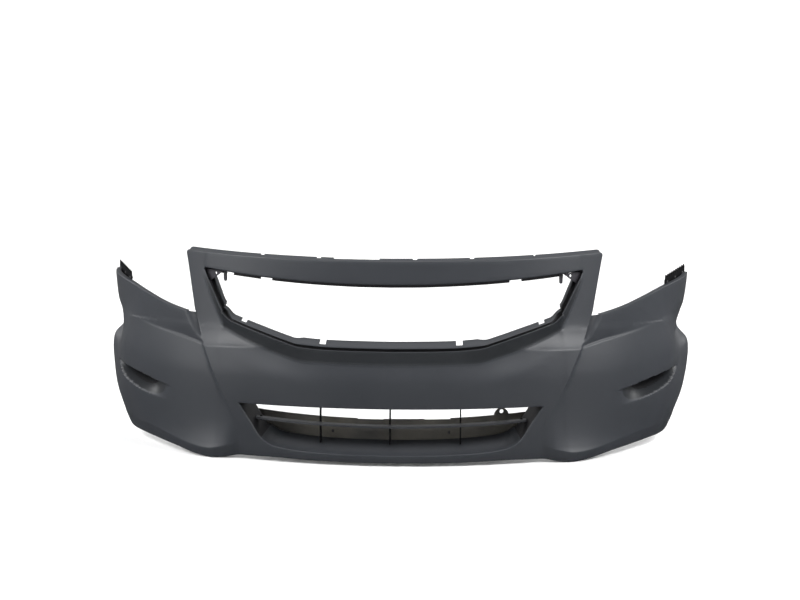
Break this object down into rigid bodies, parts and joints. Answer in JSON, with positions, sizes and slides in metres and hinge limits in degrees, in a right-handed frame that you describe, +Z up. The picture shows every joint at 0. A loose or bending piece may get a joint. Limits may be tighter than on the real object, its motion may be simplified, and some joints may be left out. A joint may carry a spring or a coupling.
{
  "type": "front bumper cover",
  "caption": "Wrap-around moulded car front cover with header bar, wide grille opening, slim lower intake and closed fog scoops in the wings.",
  "frame": {"origin": "bottom centre of the cover's bounding box", "axes": "X across the car, -Y the way the nose faces, +Z up as fitted on the car"},
  "size_m": [1.8361, 0.6742, 0.5933],
  "materials": {
    "primer": "satin dark grey primer",
    "blade_plastic": "satin dark grey primer",
    "black_plastic": "matte black plastic",
    "guide_plastic": "matte brown-grey plastic",
    "bracket_plastic": "matte grey plastic",
    "fastener": "dark coated steel"
  },
  "bodies": {
    "root": {"fascia": "primer", "intake_blade": "blade_plastic", "air_guide": "guide_plastic", "intake_rib_left": "black_plastic", "intake_rib_centre": "black_plastic", "intake_rib_right": "black_plastic", "guide_loop": "guide_plastic", "corner_bracket_left": "bracket_plastic", "corner_bracket_right": "bracket_plastic", "corner_tab_left": "bracket_plastic", "corner_tab_right": "bracket_plastic", "side_retainer_left": "black_plastic", "side_retainer_right": "black_plastic", "fog_cover_left": "black_plastic", "fog_cover_right": "black_plastic", "retainer_rivets": "fastener", "bracket_screws": "fastener", "fog_cover_screws": "fastener", "guide_screws": "fastener", "blade_clips": "black_plastic"}
  },
  "joints": []
}
